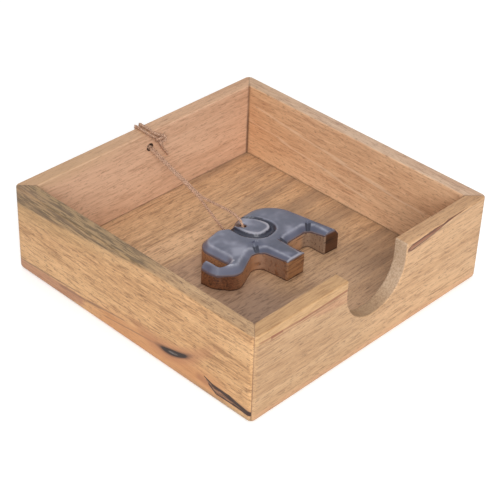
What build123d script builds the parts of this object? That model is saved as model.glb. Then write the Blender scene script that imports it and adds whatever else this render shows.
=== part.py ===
# A wooden napkin tray: four mitred walls round a grooved-in floor, with a thumb notch in the front
# wall, and a flat elephant of wood and glossy enamel, held by a loop of twine, that lies on the
# napkins as their weight.
#
# Frame: millimetres, +Z up, origin on the table under the middle of the tray. The notched front wall
# faces -Y, and the twine leaves the tray through a hole in the back wall, at +Y.

from build123d import *
import math
import os

# ---- tray ----
tray_width = 190.0          # outside, left to right
tray_depth = 190.0          # outside, front to back
wall_height = 57.0
wall_thickness = 9.3
corner_round = 3.5          # upright outside corners, sanded soft
foot_round = 3.0            # arris round the tray's underside
rim_round = 1.0             # both arrises of the rim

panel_thickness = 5.0
panel_underside = 2.3       # the floor panel hangs this far above the table
groove_depth = 4.0
groove_slack = 0.2          # above the panel in its groove
panel_slack = 0.5           # beside the panel, where the wood moves with the weather

notch_radius = 24.0
notch_bottom = 23.3         # lowest point of the notch, above the table
notch_round = 1.0           # both arrises of the notch

cord_hole_radius = 2.5
cord_hole_drop = 10.5       # from the rim down to the hole's middle
cord_hole_x = 0.7

# ---- elephant weight, drawn with its cord hole as the origin, head to -X and feet to -Y ----
figure_length = 84.7        # trunk tip to hind foot; the height follows, at 0.62 of it
figure_thickness = 15.0     # over the enamel
enamel_thickness = 0.8
figure_x = 8.7              # where its cord hole lies in the tray
figure_y = 13.8
bevel_drop = 4.4            # bevel under the enamel, down the side
bevel_width = 1.8           # and across the top
belly_round = 3.4           # where the legs meet the belly
ear_groove_radius = 2.4
ear_groove_depth = 1.3
eye_radius = 2.2            # the cord hole through the neck
relief_height = 2.0         # channel filed under the neck for the twine
relief_width = 3.2
relief_length = 9.0         # from the cord hole out past the neck

# ---- twine ----
twine_diameter = 1.4
twine_gap = 0.1             # between two strands that lie side by side
twine_clearance = 0.3       # between the twine and wood that it doesn't bear on
mouth_gap = 0.5             # from the wall hole's mouth to the point about which the twine swings
knot_radius = 3.2

# ---- worked out ----
half_width = tray_width / 2
half_depth = tray_depth / 2
inner_half_width = half_width - wall_thickness
inner_half_depth = half_depth - wall_thickness
floor_top = panel_underside + panel_thickness
notch_centre = notch_bottom + notch_radius
cord_hole_z = wall_height - cord_hole_drop
twine_radius = twine_diameter / 2
strand_offset = twine_radius + twine_gap / 2

os.makedirs("parts", exist_ok=True)


def save(piece, name):
    """Labels one finished piece and writes it under its own name."""
    piece.label = name
    export_step(piece, f"parts/{name}.step")


# ---- the four walls: one moulded ring, sawn along its mitres ----
with BuildPart() as ring:
    with BuildSketch():
        RectangleRounded(tray_width, tray_depth, corner_round)
        Rectangle(2 * inner_half_width, 2 * inner_half_depth, mode=Mode.SUBTRACT)
    extrude(amount=wall_height)
    underside = ring.faces().sort_by(Axis.Z)[0]
    fillet(underside.outer_wire().edges(), foot_round)
    rim = ring.faces().sort_by(Axis.Z)[-1]
    fillet(rim.edges(), rim_round)
    with BuildSketch(Plane.XY.offset(panel_underside)):
        Rectangle(2 * (inner_half_width + groove_depth), 2 * (inner_half_depth + groove_depth))
    extrude(amount=panel_thickness + groove_slack, mode=Mode.SUBTRACT)


def wall_outline(turn):
    """The plan of one mitred wall: turn 0 is the front wall, and each quarter turn goes on clockwise."""
    run, reach = (half_width, half_depth) if turn % 180 == 0 else (half_depth, half_width)
    corners = [(-run, -reach), (run, -reach)]
    corners += [(run - wall_thickness, wall_thickness - reach), (wall_thickness - run, wall_thickness - reach)]
    return [Vector(x, y).rotate(Axis.Z, -turn) for x, y in corners]


with BuildPart() as front_wall:
    add(ring.part)
    with BuildSketch():
        Polygon(*wall_outline(0), align=None)
    extrude(amount=wall_height, mode=Mode.INTERSECT)
    with BuildSketch(Plane.XZ.offset(half_depth)):
        with Locations((0, notch_centre)):
            Circle(notch_radius)
        with Locations((0, notch_centre)):
            Rectangle(2 * notch_radius, 2 * notch_radius, align=(Align.CENTER, Align.MIN))
    extrude(amount=-wall_thickness, mode=Mode.SUBTRACT)
    notch_edges = front_wall.edges().filter_by(GeomType.CIRCLE).filter_by(
        lambda edge: abs(edge.radius - notch_radius) < 0.001
    )
    fillet(notch_edges, notch_round)
save(front_wall.part, "front_wall")

with BuildPart() as back_wall:
    add(ring.part)
    with BuildSketch():
        Polygon(*wall_outline(180), align=None)
    extrude(amount=wall_height, mode=Mode.INTERSECT)
    with Locations(Plane((cord_hole_x, half_depth, cord_hole_z), x_dir=(1, 0, 0), z_dir=(0, 1, 0))):
        Hole(cord_hole_radius, depth=wall_thickness)
save(back_wall.part, "back_wall")

for name, turn in (("left_wall", 90), ("right_wall", 270)):
    with BuildPart() as side_wall:
        add(ring.part)
        with BuildSketch():
            Polygon(*wall_outline(turn), align=None)
        extrude(amount=wall_height, mode=Mode.INTERSECT)
    save(side_wall.part, name)

# ---- floor: a panel that stands in the walls' grooves ----
panel_margin = groove_depth - panel_slack
with BuildPart() as floor_panel:
    with BuildSketch(Plane.XY.offset(panel_underside)):
        Rectangle(2 * (inner_half_width + panel_margin), 2 * (inner_half_depth + panel_margin))
    extrude(amount=panel_thickness)
save(floor_panel.part, "floor_panel")


# ---- elephant: sawn outline, bevelled face, a gouged groove round the ear ----
# The outline is drawn in hundredths of the figure's length, radii included, from its cord hole.
figure_scale = figure_length / 100


def at(across, up):
    """A point of the outline as it lies in the tray."""
    return (figure_x + across * figure_scale, figure_y + up * figure_scale)


def scaled(radii):
    """The outline's radii at the size of the figure."""
    return [radius * figure_scale for radius in radii]


foot_near, foot_far = at(-7.6, -50.3), at(8.9, -50.3)
hind_near, hind_far = at(33.8, -46.3), at(47.8, -47.2)
trunk_tip_front, trunk_tip_back = at(-52.2, -11.8), at(-46.3, -10.6)

with BuildSketch() as outline:
    with BuildLine():
        # curl inside the trunk, mouth, forehead, dip behind the head, ear, back and rump
        FilletPolyline(
            trunk_tip_back, at(-45.2, -23.5), at(-35.3, -23.8), at(-38.3, 7.3), at(-15.9, 11.7), at(-5.7, 5.4),
            at(5.4, 11.3), at(24.6, 12.0), at(38.7, -1.7), hind_far,
            radius=scaled([4.7, 4.9, 11.8, 10.6, 4.7, 5.9, 14.0, 14.0]),
        )
        Line(hind_far, hind_near)
        FilletPolyline(hind_near, at(33.3, -30.9), at(9.8, -31.6), foot_far, radius=belly_round)
        Line(foot_far, foot_near)
        # chest and throat, then the outside of the trunk up to its tip
        FilletPolyline(
            foot_near, at(-10.7, -22.8), at(-39.7, -36.5), at(-51.0, -22.2), trunk_tip_front,
            radius=scaled([7.1, 9.4, 8.3]),
        )
        Line(trunk_tip_front, trunk_tip_back)
    make_face()


def figure(thickness):
    """The sawn and bevelled figure, this thick, with the groove round its ear."""
    shoulder = Plane.XY.offset(floor_top + thickness - bevel_drop)
    face = Plane.XY.offset(floor_top + thickness)
    with BuildPart() as body:
        with BuildSketch(Plane.XY.offset(floor_top)):
            add(outline.sketch)
        extrude(amount=thickness - bevel_drop)
        with BuildSketch(shoulder):
            add(outline.sketch)
        with BuildSketch(face):
            add(outline.sketch)
            offset(amount=-bevel_width, kind=Kind.INTERSECTION, mode=Mode.REPLACE)
        loft(ruled=True)
        with BuildLine(face.offset(ear_groove_radius - ear_groove_depth)) as ear:
            FilletPolyline(
                at(-8.2, 7.1), at(-7.4, -10.6), at(-1.8, -19.4), at(10.6, -19.1), at(17.5, -13.0),
                at(14.2, -3.0), at(4.2, 12.4), radius=scaled([10.6, 8.3, 9.4, 6.5, 14.2]),
            )
        with BuildSketch(Plane(ear.line @ 0, z_dir=ear.line % 0)):
            Circle(ear_groove_radius)
        sweep(mode=Mode.SUBTRACT)
    return body.part


wood_thickness = figure_thickness - enamel_thickness
wood = figure(wood_thickness)

with BuildPart() as elephant_body:
    add(wood)
    with Locations((figure_x, figure_y, floor_top + wood_thickness)):
        Hole(eye_radius, depth=wood_thickness)
    with BuildSketch(Plane.XY.offset(floor_top)):
        with Locations((figure_x, figure_y)):
            Rectangle(relief_width, relief_length, align=(Align.CENTER, Align.MIN))
    extrude(amount=relief_height, mode=Mode.SUBTRACT)
save(elephant_body.part, "elephant_body")

with BuildPart() as elephant_enamel:
    add(figure(figure_thickness))
    add(wood, mode=Mode.SUBTRACT)
    with BuildSketch(Plane.XY.offset(floor_top)):
        Rectangle(4 * figure_length, 4 * figure_length)
    extrude(amount=wood_thickness - bevel_drop, mode=Mode.SUBTRACT)
    with Locations((figure_x, figure_y, floor_top + figure_thickness)):
        Hole(eye_radius, depth=figure_thickness)
save(elephant_enamel.part, "elephant_enamel")


# ---- twine ----
def easy_radii(points):
    """For each corner of a route, the radius that takes 0.45 of its shorter run."""
    radii = []
    for before, corner, after in zip(points, points[1:], points[2:]):
        run_in, run_out = Vector(corner) - Vector(before), Vector(after) - Vector(corner)
        half_turn = math.radians(run_in.get_angle(run_out) / 2)
        radii.append(0.45 * min(run_in.length, run_out.length) / math.tan(half_turn))
    return radii


def strand(name, points, radii=None):
    """One strand of twine along a route: straight runs joined by tangent arcs."""
    radii = radii or easy_radii(points)
    with BuildPart() as tube:
        with BuildLine() as route:
            FilletPolyline(*points, radius=radii)
        with BuildSketch(Plane(route.line @ 0, z_dir=route.line % 0)):
            Circle(twine_radius)
        sweep()
    length = route.wires()[0].length
    ratio = tube.part.volume / (math.pi * twine_radius**2 * length)
    print(f"{name}: {length:.1f} mm, volume {ratio:.4f} of section x length, radii",
          ", ".join(f"{radius:.1f}" for radius in radii))
    save(tube.part, name)


# the doubled length, pulled nearly straight from the wall hole to where its two legs part
mouth = Vector(cord_hole_x, inner_half_depth - mouth_gap, cord_hole_z)
split = Vector(figure_x - 2.7, figure_y + 33.0, floor_top + 19.4)
pair_route = [
    mouth + (0.1, -0.4, -0.2),
    mouth + (1.8, -13.7, -7.5),
    split + (-1.6, 13.0, 6.4),
    split + (-0.1, 0.8, 0.4),
]
strand("twine_left", [point - (strand_offset, 0, 0) for point in pair_route])
strand("twine_right", [point + (strand_offset, 0, 0) for point in pair_route])

# the loop through the elephant: in over the neck, down the hole, out under the neck and back
eye = Vector(figure_x, figure_y, floor_top)
channel = twine_radius + twine_clearance
strand("twine_eye", [
    split + (strand_offset, -0.9, 0.1),
    eye + (-1.3, 21.2, 19.7),
    eye + (-0.6, 11.7, 19.9),
    eye + (-0.2, 3.2, 18.7),
    eye + (0, -0.4, 13.2),
    eye + (0, -0.5, 6.7),
    eye + (0, -0.2, channel),
    eye + (-0.3, 7.2, channel),
    eye + (-1.1, 14.2, 3.9),
    eye + (-2.2, 21.2, 9.9),
    split + (-strand_offset, -1.0, -0.8),
])

# the two ends: out through the wall, up over the rim and down to the knot inside
outside = half_depth + twine_radius + twine_clearance
inside = inner_half_depth - twine_radius - twine_clearance
over = wall_height + twine_radius + twine_clearance
mouth_radius = twine_radius + twine_clearance
rim_radius = rim_round + twine_radius + twine_clearance
knot_centre = Vector(cord_hole_x + 6.1, inner_half_depth - knot_radius - 0.2, cord_hole_z + 4.1)
ends = (
    ("rim_strand_left", -strand_offset, -2.9, (-2.3, 0.6, 1.5)),
    ("rim_strand_right", strand_offset, 0.6, (0.2, 0.6, 2.6)),
)
for name, side, leg, into_knot in ends:
    strand(name, [
        (cord_hole_x + side, inner_half_depth - 0.1, cord_hole_z),
        (cord_hole_x + side, outside, cord_hole_z),
        (cord_hole_x + leg + 0.5, outside, over),
        (cord_hole_x + leg, inside, over),
        knot_centre + into_knot,
    ], [mouth_radius, rim_radius, rim_radius])

with BuildPart() as twine_knot:
    with Locations(knot_centre):
        Sphere(knot_radius)
save(twine_knot.part, "twine_knot")

strand("twine_tail", [
    knot_centre + (0.8, 1.0, -2.0),
    (cord_hole_x + 8.0, inside, cord_hole_z - 2.2),
    (cord_hole_x + 11.2, inside - 0.2, cord_hole_z - 6.4),
    (cord_hole_x + 13.9, inside, cord_hole_z - 10.2),
])
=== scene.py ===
# A wooden napkin tray with a thumb notch, and the enamelled elephant on twine that weighs the napkins
# down. One section for each piece, in the order in which the tray is put together.

import math
import bpy
import numpy as np
from mathutils import Matrix, Vector
from mathutils.geometry import delaunay_2d_cdt


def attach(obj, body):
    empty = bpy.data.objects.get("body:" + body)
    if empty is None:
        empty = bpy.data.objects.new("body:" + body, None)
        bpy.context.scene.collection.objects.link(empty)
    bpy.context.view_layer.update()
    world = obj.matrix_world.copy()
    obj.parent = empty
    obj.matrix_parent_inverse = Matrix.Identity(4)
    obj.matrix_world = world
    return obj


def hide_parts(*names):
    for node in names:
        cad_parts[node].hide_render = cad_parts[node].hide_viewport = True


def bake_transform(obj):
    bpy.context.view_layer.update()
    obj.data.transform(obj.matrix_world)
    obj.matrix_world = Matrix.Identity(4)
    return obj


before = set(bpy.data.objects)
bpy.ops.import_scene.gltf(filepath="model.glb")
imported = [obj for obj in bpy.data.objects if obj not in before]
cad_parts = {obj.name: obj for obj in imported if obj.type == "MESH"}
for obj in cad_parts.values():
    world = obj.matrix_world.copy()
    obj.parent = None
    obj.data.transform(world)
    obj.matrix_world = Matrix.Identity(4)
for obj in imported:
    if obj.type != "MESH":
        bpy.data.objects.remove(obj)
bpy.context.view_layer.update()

MM = 0.001

# ---- The view ----
# A long lens looks down on the tray from beyond its front left corner.
camera = bpy.data.objects.new("camera", bpy.data.cameras.new("camera"))
bpy.context.collection.objects.link(camera)
camera.data.sensor_width = 36.0
camera.data.lens = 108.73
camera.data.clip_end = 10.0
right_of_view = Vector((0.69894, -0.71435, 0.03439))
up_of_view = Vector((0.39428, 0.42501, 0.8148))
towards_lens = Vector((-0.59667, -0.55594, 0.57871))
stand = Matrix((right_of_view, up_of_view, towards_lens)).transposed().to_4x4()
camera.matrix_world = Matrix.Translation((-0.52421, -0.48917, 0.52437)) @ stand
bpy.context.scene.camera = camera


# ---- The twine ----
# Natural jute of 1.4 mm, three soft and hairy plies laid right-handed. One length is doubled through
# the elephant's neck; both ends leave by the hole in the back wall, pass over the rim and are knotted
# together inside.
class Tone:
    """A socket of a material. Operators on tones add the Math nodes of the same name."""

    def __init__(self, tree, socket):
        self.tree, self.socket = tree, socket

    def node(self, kind, sockets=None, out=0, **settings):
        """Any node of this material: its settings first, then the values or links of its sockets."""
        made = self.tree.nodes.new(kind)
        for name, setting in settings.items():
            setattr(made, name, setting)
        for key, value in (sockets or {}).items():
            if isinstance(value, Tone):
                self.tree.links.new(value.socket, made.inputs[key])
            else:
                made.inputs[key].default_value = value
        return Tone(self.tree, made.outputs[out])

    def math(self, operation, *others):
        return self.node("ShaderNodeMath", dict(enumerate((self, *others))), operation=operation)

    def __add__(self, other):
        return self.math("ADD", other)

    def __sub__(self, other):
        return self.math("SUBTRACT", other)

    def __mul__(self, other):
        return self.math("MULTIPLY", other)

    def __truediv__(self, other):
        return self.math("DIVIDE", other)

    def __rsub__(self, other):
        return self * -1.0 + other

    __radd__, __rmul__ = __add__, __mul__

    def near(self, middle, reach):
        """1 where the tone is at the middle, fading to 0 at the reach on both sides."""
        return (self - middle).math("ABSOLUTE").between(reach, 0.0)

    def between(self, low, high):
        """0 up to low and 1 from high, eased between them. low may be the larger."""
        sockets = {"Value": self, "From Min": low, "From Max": high}
        return self.node("ShaderNodeMapRange", sockets, interpolation_type="SMOOTHSTEP")

    def noise(self, scale, detail=2.0, roughness=0.5, distortion=0.0):
        """Noise over this place, from about 0.25 to 0.75."""
        sockets = {"Vector": self, "Scale": scale, "Detail": detail, "Roughness": roughness,
                   "Distortion": distortion}
        return self.node("ShaderNodeTexNoise", sockets)

    def laid(self, colour, share):
        """This colour with another laid over it, by a share from 0 to 1."""
        if not isinstance(colour, Tone):
            colour = (*colour, 1)
        return self.node("ShaderNodeMix", {0: share, 6: self, 7: colour}, out=2, data_type="RGBA")

    def tinged(self, colour, share):
        """This colour through a tint, by a share from 0 to 1."""
        return self.node("ShaderNodeMix", {0: share, 6: self, 7: (*colour, 1)}, out=2, data_type="RGBA",
                         blend_type="MULTIPLY")


def finish_of(name):
    """A new material: its name, its surface shader and the place of each point as a tone."""
    material = bpy.data.materials.new(name)
    material.use_nodes = True
    surface = material.node_tree.nodes["Principled BSDF"]
    place = material.node_tree.nodes.new("ShaderNodeTexCoord").outputs["Object"]
    return material, surface, Tone(material.node_tree, place)


def feed(surface, **tones):
    """Links tones to the surface shader; a plain number or colour is set on the socket itself."""
    for key, tone in tones.items():
        name = {"specular": "Specular IOR Level"}.get(key, key.replace("_", " ").title())
        if isinstance(tone, Tone):
            tone.tree.links.new(tone.socket, surface.inputs[name])
        else:
            surface.inputs[name].default_value = tone


def blended(place, low, high, share):
    """Two plain colours mixed by a share from 0 to 1."""
    return place.node("ShaderNodeMix", {0: share, 6: (*low, 1), 7: (*high, 1)}, out=2, data_type="RGBA")


def drawn(name, points, edges=(), faces=()):
    """A mesh object in the scene at the origin."""
    mesh = bpy.data.meshes.new(name)
    mesh.from_pydata([tuple(point) for point in points], list(edges), list(faces))
    mesh.update()
    piece = bpy.data.objects.new(name, mesh)
    bpy.context.collection.objects.link(piece)
    return piece


def settled(piece):
    """The piece with its modifiers made real, as one plain mesh."""
    bpy.context.view_layer.update()
    evaluated = piece.evaluated_get(bpy.context.evaluated_depsgraph_get())
    plain = bpy.data.meshes.new_from_object(evaluated)
    piece.modifiers.clear()
    piece.data = plain
    return piece


jute, surface, place = finish_of("jute")
fibres, patches = place.noise(2600.0, 3.0), place.noise(230.0, 2.0)
jute_colour = blended(place, (0.17, 0.085, 0.052), (0.74, 0.485, 0.345), fibres.between(0.41, 0.56))
jute_colour = jute_colour.laid((0.50, 0.30, 0.20), patches.between(0.45, 0.7) * 0.5)
feed(surface, base_color=jute_colour, roughness=0.85, specular=0.2,
     normal=place.node("ShaderNodeBump", {"Strength": 0.6, "Distance": 0.0002, "Height": fibres}))


def twine_lay():
    """The tree that lays plies round a path and sets fibres on them."""
    tree = bpy.data.node_groups.new("twine lay", "GeometryNodeTree")
    tree.is_modifier = True
    face = tree.interface
    face.new_socket("Geometry", in_out="INPUT", socket_type="NodeSocketGeometry")
    for name, value in (("Ply Radius", 0.41 * MM), ("Ply Offset", 0.44 * MM), ("Lay Length", 5.5 * MM),
                        ("Step", 0.32 * MM), ("Unevenness", 0.22 * MM), ("Fibre Length", 1.7 * MM),
                        ("Fibre Radius", 0.03 * MM), ("Fibres per Square Metre", 2.6e6)):
        size = face.new_socket(name, in_out="INPUT", socket_type="NodeSocketFloat")
        size.default_value = value
    face.new_socket("Material", in_out="INPUT", socket_type="NodeSocketMaterial")
    face.new_socket("Geometry", in_out="OUTPUT", socket_type="NodeSocketGeometry")
    links = tree.links

    def node(kind, sockets=None, **settings):
        made = tree.nodes.new(kind)
        for name, setting in settings.items():
            setattr(made, name, setting)
        for key, value in (sockets or {}).items():
            if isinstance(value, bpy.types.NodeSocket):
                links.new(value, made.inputs[key])
            else:
                made.inputs[key].default_value = value
        return made

    def maths(operation, *values):
        return node("ShaderNodeMath", dict(enumerate(values)), operation=operation).outputs[0]

    def vectors(operation, **values):
        places = {"first": 0, "second": 1, "scale": "Scale"}
        sockets = {places[key]: value for key, value in values.items()}
        return node("ShaderNodeVectorMath", sockets, operation=operation).outputs[0]

    given = node("NodeGroupInput").outputs
    path = node("GeometryNodeMeshToCurve", {"Mesh": given["Geometry"]}).outputs[0]
    path = node("GeometryNodeResampleCurve", {"Curve": path, "Length": given["Step"]},
                mode="LENGTH").outputs[0]
    run = node("GeometryNodeSplineParameter").outputs["Length"]
    turn = maths("MULTIPLY", maths("DIVIDE", run, given["Lay Length"]), math.tau)
    normal = node("GeometryNodeInputNormal").outputs[0]
    tangent = node("GeometryNodeInputTangent").outputs[0]
    side = vectors("CROSS_PRODUCT", first=tangent, second=normal)
    position = node("GeometryNodeInputPosition").outputs[0]
    ring = node("GeometryNodeCurvePrimitiveCircle",
                {"Resolution": 7, "Radius": given["Ply Radius"]}).outputs[0]
    plies = node("GeometryNodeJoinGeometry")
    for ply_number in range(3):
        angle = maths("ADD", turn, ply_number * math.tau / 3)
        far_out = maths("MULTIPLY", maths("COSINE", angle), given["Ply Offset"])
        far_across = maths("MULTIPLY", maths("SINE", angle), given["Ply Offset"])
        laid = vectors("ADD", first=vectors("SCALE", first=normal, scale=far_out),
                       second=vectors("SCALE", first=side, scale=far_across))
        spot = vectors("ADD", first=position, second=(ply_number, 0, 0))
        around = node("ShaderNodeTexNoise",
                      {"Vector": spot, "Scale": 700.0, "Detail": 1.0}).outputs["Color"]
        stray = vectors("SCALE", first=vectors("SUBTRACT", first=around, second=(0.5, 0.5, 0.5)),
                        scale=given["Unevenness"])
        offset = vectors("ADD", first=laid, second=stray)
        ply = node("GeometryNodeSetPosition", {"Geometry": path, "Offset": offset}).outputs[0]
        tube = node("GeometryNodeCurveToMesh",
                    {"Curve": ply, "Profile Curve": ring, "Fill Caps": True}).outputs[0]
        links.new(tube, plies.inputs[0])
    smooth = node("GeometryNodeSetShadeSmooth", {"Geometry": plies.outputs[0]}).outputs[0]
    spots = node("GeometryNodeDistributePointsOnFaces",
                 {"Mesh": smooth, "Density": given["Fibres per Square Metre"], "Seed": 7})
    hair = node("GeometryNodeMeshCone",
                {"Vertices": 3, "Radius Bottom": given["Fibre Radius"],
                 "Depth": given["Fibre Length"]}).outputs[0]
    tilt = 1.25
    lean = node("FunctionNodeRandomValue",
                {0: (-tilt, -tilt, 0.0), 1: (tilt, tilt, math.tau), "Seed": 3},
                data_type="FLOAT_VECTOR").outputs[0]
    length = node("FunctionNodeRandomValue", {2: 0.25, 3: 1.0, "Seed": 5}, data_type="FLOAT").outputs[1]
    hairs = node("GeometryNodeInstanceOnPoints",
                 {"Points": spots.outputs["Points"], "Rotation": spots.outputs["Rotation"],
                  "Instance": hair, "Scale": length})
    leaned = node("GeometryNodeRotateInstances",
                  {"Instances": hairs.outputs[0], "Rotation": lean}).outputs[0]
    every = node("GeometryNodeJoinGeometry")
    links.new(smooth, every.inputs[0])
    links.new(leaned, every.inputs[0])
    whole = node("GeometryNodeRealizeInstances", {"Geometry": every.outputs[0]}).outputs[0]
    shown = node("GeometryNodeSetMaterial",
                 {"Geometry": whole, "Material": given["Material"]}).outputs[0]
    links.new(shown, node("NodeGroupOutput").inputs[0])
    return tree


lay_of_twine = twine_lay()


def line_of(points):
    """The points, in metres, of a soft line that follows a route given in millimetres."""
    curve = bpy.data.curves.new("route", "CURVE")
    curve.dimensions = "3D"
    spline = curve.splines.new("NURBS")
    spline.points.add(len(points) - 1)
    for control, point in zip(spline.points, points):
        control.co = (*(Vector(point) * MM), 1.0)
    spline.order_u = 3
    spline.use_endpoint_u = True
    spline.resolution_u = 16
    route = bpy.data.objects.new("route", curve)
    bpy.context.collection.objects.link(route)
    bpy.context.view_layer.update()
    mesh = bpy.data.meshes.new_from_object(route)
    line = [vertex.co.copy() for vertex in mesh.vertices]
    bpy.data.objects.remove(route)
    return line


def twine_along(name, line):
    """Laid twine along a line of points."""
    piece = drawn(name, line, edges=[(index, index + 1) for index in range(len(line) - 1)])
    lay = piece.modifiers.new("lay", "NODES")
    lay.node_group = lay_of_twine
    for socket in lay_of_twine.interface.items_tree:
        if socket.in_out == "INPUT" and socket.name == "Material":
            lay[socket.identifier] = jute
    settled(piece)
    return piece


# The loop, from the wall hole through the neck of the elephant and back. Its two legs lie side by side
# as far as the split.
hole_x, hole_z, inner_face = 0.7, 46.5, 85.7
eye_x, eye_y, floor_top = 8.7, 13.8, 7.3
half_pair = 0.75
mouth = Vector((hole_x, inner_face - 0.5, hole_z))
split = Vector((6.0, 46.8, 26.7))
eye = Vector((eye_x, eye_y, floor_top))
beside = Vector((half_pair, 0, 0))
pair = [mouth + Vector(p) for p in ((0.1, -0.4, -0.2), (1.8, -13.7, -7.5))]
pair += [split + Vector(p) for p in ((-1.6, 13.0, 6.4), (-0.1, 0.8, 0.4))]
through = [split + Vector((half_pair, -0.9, 0.1))]
through += [eye + Vector(p) for p in (
    (-1.3, 21.2, 19.7), (-0.6, 11.7, 19.9), (-0.2, 3.2, 18.7), (0, -0.4, 13.2), (0, -0.5, 6.7),
    (0, -0.2, 1.0), (-0.3, 7.2, 1.0), (-1.1, 14.2, 3.9), (-2.2, 21.2, 9.9),
)]
through += [split + Vector((-half_pair, -1.0, -0.8))]
loop_line = line_of([p + beside for p in pair] + through + [p - beside for p in reversed(pair)])
loop = twine_along("twine_loop", loop_line)
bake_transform(loop)
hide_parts("twine_left", "twine_right", "twine_eye")

# ---- The knot ----
# The two ends come out through the wall, go up over the rim and are tied in one small knot inside,
# which leaves a short tail.
knot_centre = Vector((6.8, 82.3, 50.6))
outer_face, rim_top = 95.0, 57.0
behind, above, before = outer_face + 1.0, rim_top + 1.0, inner_face - 1.0
for node_name, side, leg, into_knot in (
    ("rim_strand_left", -half_pair, -2.9, (-2.3, 0.6, 1.5)),
    ("rim_strand_right", half_pair, 0.6, (0.2, 0.6, 2.6)),
):
    bored, risen = hole_x + side, hole_x + leg
    line = line_of([
        (bored, inner_face - 0.1, hole_z), (bored, outer_face, hole_z), (bored, behind, hole_z),
        (bored, behind, hole_z + 1.0), (risen + 0.5, behind, rim_top), (risen + 0.5, behind, above),
        (risen + 0.4, outer_face, above), (risen, inner_face, above), (risen, before, above),
        (risen + 0.1, before - 0.1, rim_top), knot_centre + Vector(into_knot),
    ])
    strand = twine_along(node_name + "_twine", line)
    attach(strand, "tray")
    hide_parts(node_name)

# an overhand knot pulled tight is one loop that crosses itself three times
knot_spread, knot_depth = 1.05, 1.25
turns = [math.tau * step / 90 for step in range(91)]
knot_line = [
    (knot_centre + Vector((
        knot_spread * (math.sin(t) + 2 * math.sin(2 * t)),
        0.1 - knot_depth * math.sin(3 * t),
        knot_spread * (math.cos(t) - 2 * math.cos(2 * t)),
    ))) * MM
    for t in turns
]
knot = twine_along("knot_of_twine", knot_line)
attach(knot, "tray")
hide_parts("twine_knot")

tail_line = line_of([
    knot_centre + Vector((0.8, 1.0, -2.0)), (8.7, 84.7, 44.3), (11.9, 84.5, 40.1), (14.6, 84.7, 36.3),
])
tail = twine_along("tail_of_twine", tail_line)
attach(tail, "tray")
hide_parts("twine_tail")


# ---- The floor ----
# A thin panel that stands in grooves in the four walls. Its grain runs from left to right, and turns
# into a fan of short strokes towards the left wall.
def in_mm(place, axes="XYZ"):
    """The coordinates of a point along some axes, in millimetres."""
    return [place.node("ShaderNodeSeparateXYZ", {0: place}, out=axis) * 1000.0 for axis in axes]


def distance(u, v, centre):
    """How far a place on a face is from a point of it. u and v are the face's coordinates."""
    across, up = u - centre[0], v - centre[1]
    return (across * across + up * up).math("SQRT")


def stroke(u, v, start, end, half_widths, waver=0.0, soft=0.45):
    """A mark along a straight line on a face, 1 in its middle, with half its width at each end."""
    share = (u - start[0]) * (1 / (end[0] - start[0]))
    middle = share * (end[1] - start[1]) + start[1]
    half = share * (half_widths[1] - half_widths[0]) + half_widths[0]
    body = ((v - middle + waver).math("ABSOLUTE") / half.math("MAXIMUM", 0.05)).between(1.0, soft)
    return body * share.between(-0.04, 0.06) * share.between(1.04, 0.94)


def grain(place, along, seed, slant=0.0):
    """The grain of a board along X or Y, as tones: slow drift, lines, fine streaks and dark pores."""
    run = [1.0 if axis == along else 11.0 for axis in "XYZ"]
    dash = [1.0 if axis == along else 6.0 for axis in "XYZ"]
    lean = (0, slant, 0) if along == "X" else (slant, 0, 0)
    lie = place.node("ShaderNodeMapping", {"Vector": place, "Location": (seed, seed * 0.7, seed * 0.3),
                                           "Rotation": lean, "Scale": run})
    dashed = place.node("ShaderNodeMapping", {"Vector": place, "Location": (0.1 * seed, 0, 0),
                                              "Rotation": lean, "Scale": dash})
    drift = lie.noise(4.0, 3.0, 0.55, 0.5)
    lines = lie.noise(24.0, 4.0, 0.6, 0.25)
    streaks = lie.noise(78.0, 4.0, 0.7, 0.2)
    pores = dashed.noise(250.0, 2.0, 0.6)
    return drift, lines, streaks, pores


def wood(place, tones, colours, contrast=1.0):
    """The colour of a sanded and oiled board from its grain: pale, middle and dark."""
    drift, lines, streaks, pores = tones
    pale, middle, dark = colours
    colour = blended(place, middle, pale, drift.between(0.38, 0.62))
    palest = tuple(min(1.12 * part, 0.95) for part in pale)
    colour = colour.laid(palest, streaks.between(0.52, 0.66) * 0.7 * contrast)
    colour = colour.laid(dark, lines.between(0.53, 0.74) * 0.6 * contrast)
    colour = colour.laid(dark, streaks.between(0.5, 0.34) * 0.72 * contrast)
    return colour.laid(tuple(0.55 * part for part in dark), pores.between(0.57, 0.68) * 0.62 * contrast)


def oiled(surface, tones, colour):
    """The satin oil finish over a board: the pores stay a little open."""
    drift, lines, streaks, pores = tones
    height = streaks * 0.5 - pores.between(0.58, 0.7) * 0.6
    bump = height.node("ShaderNodeBump", {"Strength": 0.35, "Distance": 0.0003, "Height": height})
    feed(surface, base_color=colour, roughness=lines * 0.2 + 0.42, normal=bump)


def dress(node_name, material):
    """Gives a CAD node its finish."""
    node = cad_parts[node_name]
    node.data.materials.clear()
    node.data.materials.append(material)


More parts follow.
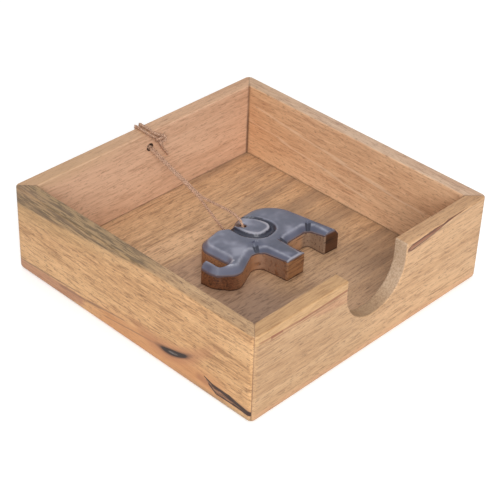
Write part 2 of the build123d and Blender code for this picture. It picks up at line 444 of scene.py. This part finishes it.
floor_wood, surface, place = finish_of("floor wood")
x, y = in_mm(place, "XY")
straight = grain(place, "X", 3.1)
fan = place.node("ShaderNodeMapping",
                 {"Vector": place, "Rotation": (0, 0, -0.42), "Scale": (1.0, 5.0, 5.0)})
spokes = fan.noise(130.0, 3.0, 0.6, 0.4)
colour = wood(place, straight, ((0.69, 0.435, 0.25), (0.57, 0.35, 0.19), (0.25, 0.13, 0.066)))
sector = (x * 0.12 + y + straight[0] * 18.0).between(36.0, 29.0) * x.between(6.0, -22.0)
fanned = blended(place, (0.19, 0.105, 0.065), (0.39, 0.235, 0.15), spokes.between(0.34, 0.54))
colour = colour.laid(fanned, sector * 0.75)
# painted shade: the floor darkens towards the front and left walls, as if in their shadow
colour = colour.tinged((0.80, 0.80, 0.82), (y * -1.0 - x * 0.25).between(-6.0, 42.0))
colour = colour.laid((0.20, 0.125, 0.078), x.between(10.0, 60.0) * straight[0].between(0.36, 0.6) * 0.6)
oiled(surface, straight, colour)
dress("floor_panel", floor_wood)


# ---- The left wall ----
# Mitred at both ends. A grey spalted band with fine dark lines lies along its rim, and a red strip, a
# small dark knot and a drying crack along its foot.
def glued_and_shaded(place, colour):
    """A wall's colour with the dark line of glue along its mitres, painted shade down its inner
    corners, and a dark line along the foot of its inner faces.
    """
    x, y, z = in_mm(place)
    across, along = x.math("ABSOLUTE"), y.math("ABSOLUTE")
    off = (across - along).math("ABSOLUTE")
    outside = across.between(outer_face - 1.0, outer_face - 0.2)
    inner = across.math("MAXIMUM", along).between(inner_face + 2.3, inner_face + 0.8)
    mitre = off.between(0.5, 0.1) * 0.65 + off.between(1.1, 0.3) * outside * 0.35
    foot = z.between(floor_top + 1.3, floor_top + 0.3) * 0.5
    # painted shade: a wider dark band down the inner corners of the tray
    line = mitre.math("MAXIMUM", inner * (off.between(1.8, 0.2) * 0.75).math("MAXIMUM", foot))
    return colour.laid((0.10, 0.045, 0.025), line * z.between(58.0, 30.0).math("MAXIMUM", 0.7))


def shaded_top_of(z):
    """1 on the top of a wall, where its rim is tinted darker as painted shade."""
    return z.between(rim_top - 0.6, rim_top - 0.1)


left_wood, surface, place = finish_of("left wall wood")
x, y, z = in_mm(place)
tones = grain(place, "Y", 7.7, 0.03)
drift, lines, streaks, pores = tones
colour = wood(place, tones, ((0.68, 0.405, 0.195), (0.56, 0.305, 0.133), (0.28, 0.135, 0.055)), 1.2)
ripple = lines * 9.0 - 4.5
outside = x.between(-90.0, -93.5)
# the red strip, its grain line, and the orange round the knot
foot = (z * -1.0 + 19.0 + ripple - (y + 40.0).math("ABSOLUTE") * 0.06).between(-3.0, 9.0)
orange = foot * y.between(52.0, 10.0) * y.between(-92.0, -60.0)
colour = colour.laid((0.56, 0.255, 0.105), orange * 0.75 * outside)
red = stroke(y, z, (97.0, 2.5), (36.0, 6.5), (5.5, 3.6), ripple * 0.35, 0.7)
colour = colour.laid((0.40, 0.185, 0.115), red * outside * 0.7)
for start, end, widths, share in (
    ((96.0, 7.4), (38.0, 11.0), (0.9, 0.7), 0.6), ((58.0, 7.4), (22.0, 10.0), (1.1, 0.8), 0.5),
    ((34.0, 9.6), (2.0, 13.0), (0.8, 0.5), 0.6), ((20.0, 7.0), (-30.0, 12.6), (0.6, 0.9), 0.5),
    ((30.0, 15.0), (-22.0, 18.0), (0.5, 0.4), 0.4),
):
    mark = stroke(y, z, start, end, widths, ripple * 0.25)
    colour = colour.laid((0.17, 0.085, 0.055), mark * outside * share)
# the spalted band
edge = z - 54.8 + y * 0.112 + (drift * 14.0 - 7.0) * 0.5
band = edge.between(-1.6, 1.4) * y.between(-42.0, -6.0)
grey = blended(place, (0.12, 0.078, 0.036), (0.34, 0.215, 0.10), streaks.between(0.38, 0.57))
grey = grey.laid((0.32, 0.185, 0.105), drift.between(0.5, 0.62) * 0.5)
dark_lines = lines.between(0.52, 0.57) * 0.65 + streaks.near(0.45, 0.03) * 0.5
grey = grey.laid((0.10, 0.062, 0.035), dark_lines)
colour = colour.laid(grey, band * 0.9)
fringe = edge.between(-14.0, -2.0) * (1.0 - band) * y.between(-30.0, 60.0)
colour = colour.laid((0.42, 0.275, 0.12), fringe * 0.4)
# the knot and the crack
knot_y, knot_z = -37.0, 13.4
past = y - knot_y
ring = past * past * 0.0095
drop = (z - knot_z + past * 0.27 - past * past * 0.013 + ripple * 0.25) * 0.5
ring = (ring + drop * drop).math("SQRT")
colour = colour.laid((0.42, 0.18, 0.085), ring.between(4.2, 1.3) * outside * 0.65)
colour = colour.laid((0.16, 0.07, 0.04), ring.between(1.7, 1.0) * outside * 0.8)
colour = colour.laid((0.022, 0.012, 0.010), ring.between(1.15, 0.85) * outside)
heart = ring.between(0.5, 0.3) * streaks.between(0.45, 0.55)
colour = colour.laid((0.16, 0.14, 0.13), heart * outside * 0.8)
halo = stroke(y, z, (-54.0, 9.5), (-98.0, 6.2), (3.6, 4.0), ripple * 0.3, 0.1)
colour = colour.laid((0.36, 0.15, 0.07), halo * outside * 0.7)
crack = stroke(y, z, (-61.5, 10.6), (-70.0, 7.4), (0.4, 2.7), ripple * 0.15, 0.85)
crack = crack.math("MAXIMUM", stroke(y, z, (-68.5, 7.5), (-97.0, 6.0), (2.7, 0.9), ripple * 0.15, 0.85))
torn = blended(place, (0.06, 0.025, 0.018), (0.30, 0.15, 0.08), streaks.between(0.42, 0.56))
colour = colour.laid(torn, crack * outside * 0.95)
for start, end, widths in (
    ((-60.0, 12.0), (-67.0, 9.7), (0.5, 0.9)), ((-66.0, 9.8), (-80.0, 9.0), (0.9, 1.5)),
    ((-78.0, 9.1), (-97.0, 6.2), (1.6, 1.2)), ((-63.5, 9.0), (-69.5, 5.2), (0.8, 0.6)),
    ((-69.0, 5.2), (-84.0, 5.9), (0.6, 0.7)), ((-82.0, 6.0), (-97.0, 5.2), (0.8, 0.8)),
):
    mark = stroke(y, z, start, end, widths, ripple * 0.15, 0.6)
    colour = colour.laid((0.028, 0.013, 0.010), mark * outside * 0.95)
colour = colour.laid((0.30, 0.22, 0.13), z.between(5.0, 2.6) * y.between(-20.0, -70.0) * outside * 0.45)
# painted shade: the rim's top tinted darker
colour = colour.tinged((0.74, 0.79, 0.87), shaded_top_of(z) * (1.0 - band * 0.7))
oiled(surface, tones, glued_and_shaded(place, colour))
dress("left_wall", left_wood)

# ---- The back wall ----
# Mitred at both ends, a pinkish board. The twine's hole is drilled through it under the rim.
back_wood, surface, place = finish_of("back wall wood")
x, z = in_mm(place, "XZ")
tones = grain(place, "X", 12.4, -0.12)
colour = wood(place, tones, ((0.74, 0.485, 0.33), (0.65, 0.405, 0.265), (0.42, 0.235, 0.145)), 0.7)
under_rim = z.between(rim_top - 10.0, rim_top) * x.between(20.0, -60.0) * tones[0].between(0.35, 0.6)
colour = colour.laid((0.56, 0.38, 0.22), under_rim * 0.5)
# painted shade: the rim's top tinted darker
colour = colour.tinged((0.78, 0.71, 0.62), shaded_top_of(z))
bore = distance(x, z, (hole_x, hole_z))
# painted shade: the bore of the twine's hole painted nearly black
colour = colour.laid((0.06, 0.03, 0.018), bore.between(2.8, 2.45) * 0.97)
oiled(surface, tones, glued_and_shaded(place, colour))
dress("back_wall", back_wood)

# ---- The right wall ----
# Mitred at both ends, an orange board with a paler streak that climbs slowly along it.
right_wood, surface, place = finish_of("right wall wood")
y, z = in_mm(place, "YZ")
tones = grain(place, "Y", 21.9, 0.09)
colour = wood(place, tones, ((0.79, 0.515, 0.315), (0.71, 0.425, 0.245), (0.45, 0.23, 0.13)), 0.9)
colour = colour.tinged((0.92, 0.88, 0.82), y.between(20.0, 90.0))
for start, end, widths in (
    ((80.0, 44.0), (-60.0, 30.0), (1.2, 1.6)), ((86.0, 33.0), (-20.0, 20.0), (0.8, 1.2)),
):
    mark = stroke(y, z, start, end, widths, tones[1] * 6.0 - 3.0, 0.2)
    colour = colour.laid((0.88, 0.64, 0.44), mark * 0.5)
# painted shade: the rim's top tinted darker
colour = colour.tinged((0.76, 0.82, 0.92), shaded_top_of(z))
oiled(surface, tones, glued_and_shaded(place, colour))
dress("right_wall", right_wood)

# ---- The front wall ----
# Mitred at both ends, with the thumb notch sawn out of its middle. A brown line runs under the rim to
# the left of the notch, and a sliver of bark to the right of it.
front_wood, surface, place = finish_of("front wall wood")
x, y, z = in_mm(place)
tones = grain(place, "X", 33.3, 0.07)
drift, lines, streaks, pores = tones
colour = wood(place, tones, ((0.655, 0.405, 0.218), (0.555, 0.325, 0.165), (0.31, 0.158, 0.073)), 0.85)
ripple = lines * 5.0 - 2.5
outside = y.between(-94.2, -94.8)
colour = colour.tinged((0.86, 0.87, 0.87), x.between(30.0, -20.0))
golden = (z + ripple * 0.3).between(50.2, 51.4) * x.between(-20.0, -26.0)
straw = blended(place, (0.44, 0.245, 0.105), (0.62, 0.38, 0.18), streaks.between(0.36, 0.6))
colour = colour.laid(straw, golden * 0.75)
for start, end, widths, share in (
    ((-92.0, 52.2), (-56.0, 50.4), (0.7, 1.0), 0.65), ((-62.0, 50.6), (-23.0, 51.2), (1.0, 0.9), 0.8),
    ((-88.0, 49.0), (-30.0, 48.2), (0.4, 0.6), 0.5), ((-60.0, 48.8), (-26.0, 49.6), (0.5, 0.5), 0.5),
    ((-83.0, 51.4), (-74.0, 51.0), (1.5, 1.1), 0.9),
):
    mark = stroke(x, z, start, end, widths, ripple * 0.35)
    colour = colour.laid((0.27, 0.095, 0.045), mark * outside * share)
blush = stroke(x, z, (-50.0, 46.5), (-22.0, 46.0), (1.5, 4.5), ripple, 0.1)
colour = colour.laid((0.50, 0.22, 0.12), blush * outside * 0.4)
bark = stroke(x, z, (24.7, 52.7), (28.0, 53.0), (0.9, 2.4), ripple * 0.15, 0.85)
for start, end, widths in (
    ((27.5, 53.0), (48.0, 54.9), (2.4, 1.9)), ((46.5, 54.8), (56.0, 55.8), (1.9, 0.7)),
    ((54.0, 55.6), (65.0, 57.0), (0.8, 0.6)), ((62.0, 56.7), (78.0, 57.2), (0.5, 0.4)),
):
    bark = bark.math("MAXIMUM", stroke(x, z, start, end, widths, ripple * 0.15, 0.85))
colour = colour.laid((0.14, 0.052, 0.026), bark * outside)
core = stroke(x, z, (26.0, 52.9), (54.0, 55.6), (1.6, 0.7), ripple * 0.4, 0.6)
colour = colour.laid((0.31, 0.125, 0.06), core * streaks.between(0.36, 0.48) * outside * 0.95)
colour = colour.laid((0.68, 0.36, 0.20), (z + ripple * 0.4).between(6.5, 3.5) * outside * 0.4)
trace = stroke(x, z, (26.0, 52.4), (92.0, 56.0), (0.9, 0.6), ripple * 0.5)
colour = colour.laid((0.40, 0.25, 0.15), trace * outside * 0.4)
# the sawn cut of the notch, where the board shows its end grain
notch_centre, notch_radius = (0.0, 47.3), 24.0
bowl = distance(x, z, notch_centre).between(notch_radius + 0.9, notch_radius + 0.3)
cheeks = x.math("ABSOLUTE").between(notch_radius + 1.0, notch_radius + 0.3)
cut = bowl.math("MAXIMUM", cheeks)
cut = cut * y.between(0.1 - outer_face, 1.1 - outer_face) * z.between(20.0, 23.0)
pith = place.noise(900.0, 3.0, 0.7).between(0.35, 0.62)
end_grain = blended(place, (0.36, 0.25, 0.165), (0.56, 0.42, 0.30), pith)
end_grain = end_grain.tinged((0.56, 0.47, 0.36), x.between(23.0, 6.0))
colour = colour.laid(end_grain, cut * 0.8)
# painted shade: the rim's top tinted darker
colour = colour.tinged((0.84, 0.80, 0.76), shaded_top_of(z))
oiled(surface, tones, glued_and_shaded(place, colour))
dress("front_wall", front_wood)


# ---- The elephant ----
# Sawn from a board 14 mm thick, filed by hand to a bevel all round its face, with a groove gouged round
# the ear. Glassy enamel is poured over face and bevel, and the sawn sides are left bare.
face_top, enamel, eye_radius = 22.3, 0.8, 2.2

# Each corner of the outline, from the eye: across, up, its radius, then how far the bevel falls at the
# start and at the end of the edge that leaves it, and how far in it reaches.
corners = [
    (-39.2, -9.0, 0.8, 2.2, 2.8, 1.5),      # tip of the trunk
    (-38.3, -19.9, 4.0, 3.0, 3.4, 1.9),
    (-29.9, -20.2, 4.15, 4.2, 4.2, 3.6),    # mouth
    (-32.4, 6.2, 10.0, 4.4, 4.4, 3.8),      # forehead
    (-13.5, 9.9, 9.0, 4.4, 4.0, 3.6),
    (-4.8, 4.6, 4.0, 4.0, 4.4, 3.4),        # neck
    (4.6, 9.8, 12.0, 4.4, 4.4, 3.6),
    (21.2, 10.9, 19.0, 4.4, 4.4, 3.6),
    (33.4, -1.0, 22.0, 4.4, 5.5, 3.6),      # rump
    (40.5, -40.0, 0.8, 1.2, 1.0, 1.0),      # sole of the hind foot
    (28.6, -39.2, 0.6, 1.7, 3.6, 3.8),
    (28.2, -26.2, 3.4, 3.8, 3.6, 3.8),      # belly
    (8.3, -26.8, 3.4, 3.4, 1.6, 3.6),
    (7.5, -42.6, 0.6, 0.8, 0.8, 0.8),       # sole of the front foot
    (-6.4, -42.6, 0.6, 1.4, 2.6, 3.8),
    (-9.1, -19.3, 6.0, 2.8, 4.0, 4.4),      # chest
    (-33.6, -30.9, 8.0, 4.4, 5.6, 5.4),     # underside of the trunk
    (-43.2, -18.8, 12.0, 5.4, 4.6, 4.0),
    (-44.2, -10.0, 0.8, 2.2, 2.0, 1.5),
]
# at the belly's two corners and at the chest the file ran straight on, and left a crease
mitred = (11, 12, 15)


def laid_out(corners, step):
    """The closed outline: straight runs and arcs cut into steps, each point with its bevel's fall and
    reach, and for each corner where its arc starts and ends."""
    points, arcs = [], []
    for index, (across, up, radius, fall, _, reach) in enumerate(corners):
        fall_before, reach_before = corners[index - 1][4:]
        before, here = Vector(corners[index - 1][:2]), Vector((across, up))
        after = Vector(corners[(index + 1) % len(corners)][:2])
        back, on = (before - here).normalized(), (after - here).normalized()
        half = back.angle(on) / 2
        cut = radius / math.tan(half)
        middle = here + (back + on).normalized() * (radius / math.sin(half))
        start, end = here + back * cut, here + on * cut
        first, sweep = start - middle, (start - middle).angle_signed(end - middle)
        count = max(2, math.ceil(abs(sweep) * radius / step))
        for share in range(count + 1):
            turned = first.copy()
            turned.rotate(Matrix.Rotation(-sweep * share / count, 2))
            past = share / count
            points.append((*(middle + turned), fall_before * (1 - past) + fall * past,
                           reach_before * (1 - past) + reach * past))
        arcs.append((start, end, middle, back, on))
    even = []
    for a, b in zip(points, points[1:] + points[:1]):
        a, b = np.array(a), np.array(b)
        count = max(1, round(np.hypot(*(b - a)[:2]) / step))
        even += [a + (b - a) * share / count for share in range(count)]
    return np.array(even), arcs


def nearest(points, starts, ends):
    """From each point to each straight run: the distance."""
    run = ends - starts
    from_start = points[:, None] - starts
    share = np.clip((from_start * run).sum(2) / (run * run).sum(1), 0, 1)
    return np.linalg.norm(from_start - share[..., None] * run, axis=2)


def away(points, line):
    """The distance from each point to a line of points."""
    return nearest(points, line[:-1], line[1:]).min(1)


def inside(points, loop):
    """Which points lie inside a closed loop."""
    (x1, y1), (x2, y2) = loop.T, np.roll(loop, -1, axis=0).T
    x, y = points[:, :1], points[:, 1:]
    crosses = ((y1 > y) != (y2 > y)) & (x < (x2 - x1) * (y - y1) / (y2 - y1 + 1e-12) + x1)
    return crosses.sum(1) % 2 == 1


def soft_least(a, b, ease):
    """The lesser of two heights, with the crease between them rounded."""
    mix = np.clip(0.5 + 0.5 * (b - a) / ease, 0, 1)
    return b * (1 - mix) + a * mix - ease * mix * (1 - mix)


def flowing(points, steps=10):
    """A smooth line through some points."""
    p = np.array([points[0], *points, points[-1]], float)
    t = np.linspace(0, 1, steps, endpoint=False)[:, None]
    spans = [
        0.5 * (2 * b + (c - a) * t + (2 * a - 5 * b + 4 * c - d) * t**2
               + (3 * b - a - 3 * c + d) * t**3)
        for a, b, c, d in zip(p, p[1:], p[2:], p[3:])
    ]
    return np.vstack([*spans, p[-1:]])


outline, arcs = laid_out([(x + eye_x, y + eye_y, *rest) for x, y, *rest in corners], 0.5)
edge_points, next_points = outline[:, :2], np.roll(outline, -1, axis=0)[:, :2]
falls, reaches = outline[:, 2], outline[:, 3]

# a fine grid inside the outline, outside the cord hole, and clear of both
spacing, clear_of_edge, clear_of_eye = 0.44, 0.26, 0.28
low, high = edge_points.min(0), edge_points.max(0)
xs, ys = np.arange(low[0], high[0], spacing), np.arange(low[1], high[1], spacing * 0.866)
plan = np.array([(x + (row % 2) * spacing / 2, y) for row, y in enumerate(ys) for x in xs])
plan = plan[inside(plan, edge_points)]
plan = plan[away(plan, np.vstack([edge_points, edge_points[:1]])) > clear_of_edge]
plan = plan[np.hypot(plan[:, 0] - eye_x, plan[:, 1] - eye_y) > eye_radius + clear_of_eye]
around = np.arange(32) * math.tau / 32
eye_ring = np.c_[eye_x + eye_radius * np.cos(around), eye_y + eye_radius * np.sin(around)]
plan = np.vstack([edge_points, eye_ring, plan])
count, ring_count = len(edge_points), len(eye_ring)
loops = [(i, (i + 1) % count) for i in range(count)]
loops += [(count + i, count + (i + 1) % ring_count) for i in range(ring_count)]
made = delaunay_2d_cdt([Vector(p) for p in plan], loops, [], 0, 1e-6)
plan = np.array([tuple(p) for p in made[0]])
triangles = np.array([tuple(f) for f in made[2]])
middles = plan[triangles].mean(1)
past_eye = np.hypot(middles[:, 0] - eye_x, middles[:, 1] - eye_y) > eye_radius * 0.97
triangles = triangles[inside(middles, edge_points) & past_eye]

# the bevel: each step of the outline lifts its own slope, and the face is the least of them
slopes, inset, reached = (np.zeros(len(plan)) for _ in range(3))
for part in np.array_split(np.arange(len(plan)), 12):
    from_edge = nearest(plan[part], edge_points, next_points)
    heights = face_top - falls + falls * from_edge / reaches
    slopes[part] = heights.min(1)
    inset[part] = from_edge.min(1)
    reached[part] = (from_edge / reaches).min(1)

# at a crease two bevels run on past their corner until they meet; crease is 1 along the bottom of it
crease, crease_length = np.zeros(len(plan)), 14
for index in mitred:
    start, end, middle, back, on = arcs[index]
    start, end = np.array(start), np.array(end)
    middle, back, on = np.array(middle), np.array(back), np.array(on)
    fall_in, reach_in = corners[index - 1][4:]
    fall_out, reach_out = corners[index][3], corners[index][5]
    solid = -(back + on) / np.linalg.norm(back + on)
    lines = []
    for point, along in ((start, back), (end, on)):
        across = np.array((-along[1], along[0]))
        across = across if across @ solid > 0 else -across
        lines.append((plan - point) @ across)
    past = ((plan - start) @ back < 0) & ((plan - end) @ on < 0)
    past &= np.hypot(*(plan - middle).T) < crease_length
    line_heights = np.maximum(face_top - fall_in + fall_in * lines[0] / reach_in,
                              face_top - fall_out + fall_out * lines[1] / reach_out)
    least = face_top - max(fall_in, fall_out) - 0.3
    slopes = np.where(past, np.minimum(slopes, np.maximum(line_heights, least)), slopes)
    root = middle + solid * np.linalg.norm(start - middle)
    tip = root + solid * 1.05 * max(reach_in, reach_out)
    along = np.clip((plan - root) @ solid / np.linalg.norm(tip - root), 0, 1.3)
    off = nearest(plan, root[None], tip[None])[:, 0]
    half_width = 1.15 + 0.5 * np.clip(along, 0, 1)
    crease = np.maximum(crease, np.clip(1.25 - off / half_width, 0, 1) * (along < 1.15))
crown = 0.55
face = soft_least(face_top - crown * np.exp(-inset / 3.2), slopes, 1.0)
# the ridge between bevel and face, lightened there as a painted highlight
ridge_highlight = np.exp(-(((reached - 0.93) / 0.2) ** 2)) * (inset > 0.9)

# the ear: a groove between an outer and an inner line, steep at the flap and easy outside it
groove_depth, deepest, lip_rise = 2.1, 0.36, 0.35
outer_ear = flowing([
    (0, 20.5), (-0.2, 16), (-0.4, 11), (0.0, 6.2), (2.2, 1.5), (5.9, -2.6), (10.4, -4.6), (16.0, -4.3),
    (20.6, -2.5), (23.2, 0.8), (23.9, 4.8), (23.0, 9.2), (20.9, 13.5), (17.9, 17.3), (14.9, 20.2),
    (11, 23.6), (9, 27),
])
inner_ear = flowing([
    (3.9, 21), (3.9, 16), (4.2, 11.2), (5.1, 7), (7.1, 3.0), (10.0, 0.7), (14.4, 0.5), (18.1, 1.4),
    (20.3, 4.2), (20.3, 7.8), (18.9, 12), (16.5, 16), (13.6, 19), (10.4, 22.2), (8, 26),
])
in_groove = inside(plan, outer_ear) & ~inside(plan, inner_ear)
to_outer, to_inner = away(plan, outer_ear), away(plan, inner_ear)
share = np.where(in_groove, to_inner / (to_inner + to_outer + 1e-9), 1.0)
steep = np.sin(share / deepest * math.pi / 2)
easy = np.cos((share - deepest) / (1 - deepest) * math.pi / 2) ** 1.4
dip = np.where(in_groove, np.where(share < deepest, steep, easy), 0) * np.clip(inset / 1.6, 0.25, 1)
face = face - groove_depth * dip
within = inside(plan, inner_ear)
face = face + lip_rise * np.exp(-((to_inner - 0.9) / 0.8) ** 2) * within
# painted highlight along the outer edge of the ear's groove
groove_edge_highlight = 0.55 * np.exp(-((to_outer / 0.7) ** 2)) * (plan[:, 1] < 14) * (plan[:, 0] > 1)
ridge_highlight = np.maximum(ridge_highlight, groove_edge_highlight)
dark = np.maximum(dip * 1.15, np.where(share < deepest, (share - 0.02) / 0.05, 0))
dark = np.maximum(dark, np.clip((plan[:, 1] - 10) / 3, 0, 1) * (share > 0.03))
dark = np.where(in_groove, np.clip(dark, 0, 1), 0)
# painted shade: the ear's groove is painted dark up to the top of its far wall, and the creases along
# their bottoms
shade = np.maximum(dark, np.clip(crease * 1.8, 0, 1))
ridge_highlight = ridge_highlight * (1 - shade)

# painted highlights, where the lamps would glint: the lip of the flap, the inner edge of the trunk, the
# sole's edge
painted_gleam = np.exp(-(((to_inner - 0.75) / 0.85) ** 2)) * (within | (share < 0.06))
painted_gleam = painted_gleam * np.clip((15 - plan[:, 1]) / 8, 0.1, 1)
for gleam_line in (
    np.array([(-29.6, -2.6), (-25.5, -6.9), (-20.5, -7.2)]), np.array([(2.4, -28.3), (16.1, -28.3)]),
):
    painted_gleam = np.maximum(painted_gleam, np.exp(-(away(plan, gleam_line) / 0.7) ** 2) * 0.9)

# a bare hump between the cord hole and the neck, where the twine keeps the enamel off
hump_x, hump_y, hump_size, hump_rise = 6.2, 15.9, 1.7, 1.5
to_eye = np.hypot(plan[:, 0] - eye_x, plan[:, 1] - eye_y)
to_hump = np.hypot(plan[:, 0] - hump_x, (plan[:, 1] - hump_y) * 0.8)
face = face - 0.5 * np.clip(1 - (to_eye - eye_radius) / 1.0, 0, 1) ** 2
face = np.minimum(face + hump_rise * np.exp(-((to_hump / hump_size) ** 2)), face_top)
bare = np.clip(1.6 - to_hump / hump_size, 0, 1)


def slab(name, under, over, reads):
    """A closed solid between two heights of the plan, with some values at its points."""
    size = len(plan)
    points = np.vstack([np.c_[plan, under], np.c_[plan, over]]) * MM
    faces = [tuple(t) for t in triangles + size] + [tuple(t[::-1]) for t in triangles]
    edges = {(t[i], t[i - 2]) for t in triangles for i in range(3)}
    faces += [(a, b, b + size, a + size) for a, b in edges if (b, a) not in edges]
    piece = drawn(name, points, faces=faces)
    piece.data.shade_smooth()
    piece.data.set_sharp_from_angle(angle=math.radians(45))
    for key, values in reads.items():
        layer = piece.data.attributes.new(key, "FLOAT", "POINT")
        layer.data.foreach_set("value", np.tile(values, 2).astype(np.float32))
    return piece


wooden = slab("elephant_wood", np.full(len(plan), floor_top), face - enamel, {})
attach(wooden, "elephant")
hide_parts("elephant_body")
elephant_wood, surface, place = finish_of("elephant wood")
x, y, z = in_mm(place)
tones = grain(place, "X", 44.0, 0.15)
colour = wood(place, tones, ((0.225, 0.09, 0.037), (0.15, 0.055, 0.024), (0.045, 0.017, 0.008)), 1.3)
# the sawn sides, each where it shows: the two soles, under the head, the trunk and between the legs
drift, lines, streaks, pores = tones
front_sole = y.between(-27.0, -28.3) * x.between(20.0, 18.0)
sawn = blended(place, (0.15, 0.065, 0.03), (0.40, 0.20, 0.09), streaks.between(0.36, 0.56))
colour = colour.laid(sawn, front_sole * 0.9)
hind_sole = y.between(-23.6, -24.9) * x.between(34.0, 36.0)
stained = blended(place, (0.018, 0.007, 0.004), (0.08, 0.031, 0.013), lines.between(0.4, 0.55))
colour = colour.laid(stained, hind_sole * 0.95)
chest = x.between(-16.0, -9.0) * x.between(4.5, -1.0) * lines.between(0.3, 0.55)
colour = colour.laid((0.44, 0.275, 0.185), chest * 0.75)
trunk = x.between(-29.0, -18.0) * x.between(2.0, -6.0) * streaks.between(0.3, 0.5)
colour = colour.laid((0.42, 0.20, 0.095), trunk * 0.8)
inner_leg = x.between(17.5, 20.0) * x.between(38.8, 38.0) * streaks.between(0.3, 0.5)
pale_wood = blended(place, (0.30, 0.20, 0.135), (0.52, 0.30, 0.17), x.between(34.0, 30.0))
colour = colour.laid(pale_wood, inner_leg * 0.9)
# painted contact shadow: the sawn sides darken along their foot, next to the floor
colour = colour.tinged((0.22, 0.17, 0.15), z.between(floor_top + 1.2, floor_top + 0.2) * 0.9)
feed(surface, base_color=colour, roughness=0.55,
     normal=place.node("ShaderNodeBump", {"Strength": 0.35, "Distance": 0.0003, "Height": streaks}))
wooden.data.materials.append(elephant_wood)

reads = {"inset": inset, "shade": shade, "ridge_highlight": ridge_highlight, "painted_gleam": painted_gleam, "bare": bare}
glazed = slab("elephant_glaze", face - enamel, face, reads)
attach(glazed, "elephant")
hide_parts("elephant_enamel")
slate_enamel, surface, place = finish_of("slate enamel")
inset, shade, ridge_highlight, painted_gleam, bare = [
    place.node("ShaderNodeAttribute", attribute_name=key, out=2) for key in reads
]
cloud, mottle = place.noise(70.0, 2.0), place.noise(420.0, 3.0, 0.6)
x, y = in_mm(place, "XY")
pooled = cloud.between(0.34, 0.64) * 0.75 + mottle * 0.25
slate = blended(place, (0.06, 0.067, 0.11), (0.17, 0.175, 0.24), pooled)
# painted shade: the bevel darker near the outline
slate = slate.laid((0.085, 0.092, 0.15), inset.between(3.4, 1.6) * 0.5)
# painted soft highlights: lighter patches on the flat of the face
slate = slate.laid((0.30, 0.31, 0.385), cloud.between(0.47, 0.64) * inset.between(2.5, 5.0) * 0.55)
slate = slate.tinged((0.56, 0.58, 0.66), y.between(-4.0, -14.0) * 0.9)
# painted highlight: the bevel round the head and trunk lighter and bluer
slate = slate.laid((0.19, 0.195, 0.27), x.between(-14.0, -24.0) * inset.between(4.2, 2.4) * 0.3)
far_edge = inset.between(7.0, 3.6) * y.between(10.0, 19.0) * x.between(9.0, 17.0)
slate = slate.laid((0.125, 0.092, 0.098), far_edge * 0.7)
# painted highlight along the ridges
slate = slate.laid((0.44, 0.45, 0.53), ridge_highlight * (mottle * 0.7 + 0.05))
# painted shade in the groove and the creases
slate = slate.laid((0.010, 0.012, 0.028), shade.between(0.08, 0.45) * 0.95)
# painted highlight: the pale gleam
slate = slate.laid((0.48, 0.47, 0.53), painted_gleam * (1.0 - shade) * 0.7)
slate = slate.laid((0.14, 0.085, 0.075), inset.between(0.8, 0.1) * (1.0 - painted_gleam) * 0.7)
rubbed = blended(place, (0.05, 0.022, 0.018), (0.17, 0.10, 0.075), mottle.between(0.4, 0.6))
slate = slate.laid(rubbed, bare.between(0.3, 0.75))
dull = (bare + shade * 1.2 + painted_gleam * 0.8).math("MINIMUM", 1.0)
ripples = {"Strength": 0.12, "Distance": 0.0006, "Height": place.noise(150.0, 1.0)}
feed(surface, base_color=slate, roughness=dull * 0.4 + 0.2, coat_weight=0.3, coat_roughness=0.12,
     normal=place.node("ShaderNodeBump", ripples))
glazed.data.materials.append(slate_enamel)

# ---- The studio ----
# A white sweep under soft light: the sky all round, a large box on the camera's side, and one above.
far, level = 3, -0.0002
corners_of_sweep = [(-far, -far, level), (far, -far, level), (far, far, level), (-far, far, level)]
sweep = drawn("studio_floor", corners_of_sweep, faces=[(0, 1, 2, 3)])
paper, surface, place = finish_of("paper")
feed(surface, base_color=(0.9, 0.9, 0.9, 1), roughness=0.9, specular=0.0)
tree = paper.node_tree
seen = place.node("ShaderNodeLightPath", out=0)
glow = place.node("ShaderNodeEmission", {"Strength": 0.3})
either = place.node("ShaderNodeAddShader", {1: glow})
tree.links.new(surface.outputs[0], either.socket.node.inputs[0])
shown = place.node("ShaderNodeMixShader", {0: seen, 2: either})
tree.links.new(surface.outputs[0], shown.socket.node.inputs[1])
tree.links.new(shown.socket, tree.nodes["Material Output"].inputs[0])
sweep.data.materials.append(paper)

world = bpy.data.worlds.new("studio")
bpy.context.scene.world = world
world.use_nodes = True
rays = world.node_tree.nodes.new("ShaderNodeLightPath").outputs
kinds = ("Is Camera Ray", "Is Glossy Ray", "Is Transmission Ray")
direct, glossy, through_glass = [Tone(world.node_tree, rays[kind]) for kind in kinds]
backdrop = direct.math("MAXIMUM", glossy).math("MAXIMUM", through_glass)
sky, sky_light = world.node_tree.nodes["Background"], 0.52
strength = backdrop * (1.0 - sky_light) + sky_light
world.node_tree.links.new(strength.socket, sky.inputs["Strength"])
sky.inputs["Color"].default_value = (1, 1, 1, 1)

for name, power, size, stands in (
    ("camera_side_box", 16.5, 0.8, (-0.82, -0.98, 0.80)), ("upper_box", 3.6, 0.5, (0.22, 0.2, 1.5)),
):
    box = bpy.data.lights.new(name, "AREA")
    box.energy, box.size = power, size
    holder = bpy.data.objects.new(name, box)
    bpy.context.collection.objects.link(holder)
    holder.location = stands
    holder.rotation_euler = (-Vector(stands)).to_track_quat("-Z", "Y").to_euler()

bpy.context.scene.view_settings.view_transform = "Standard"
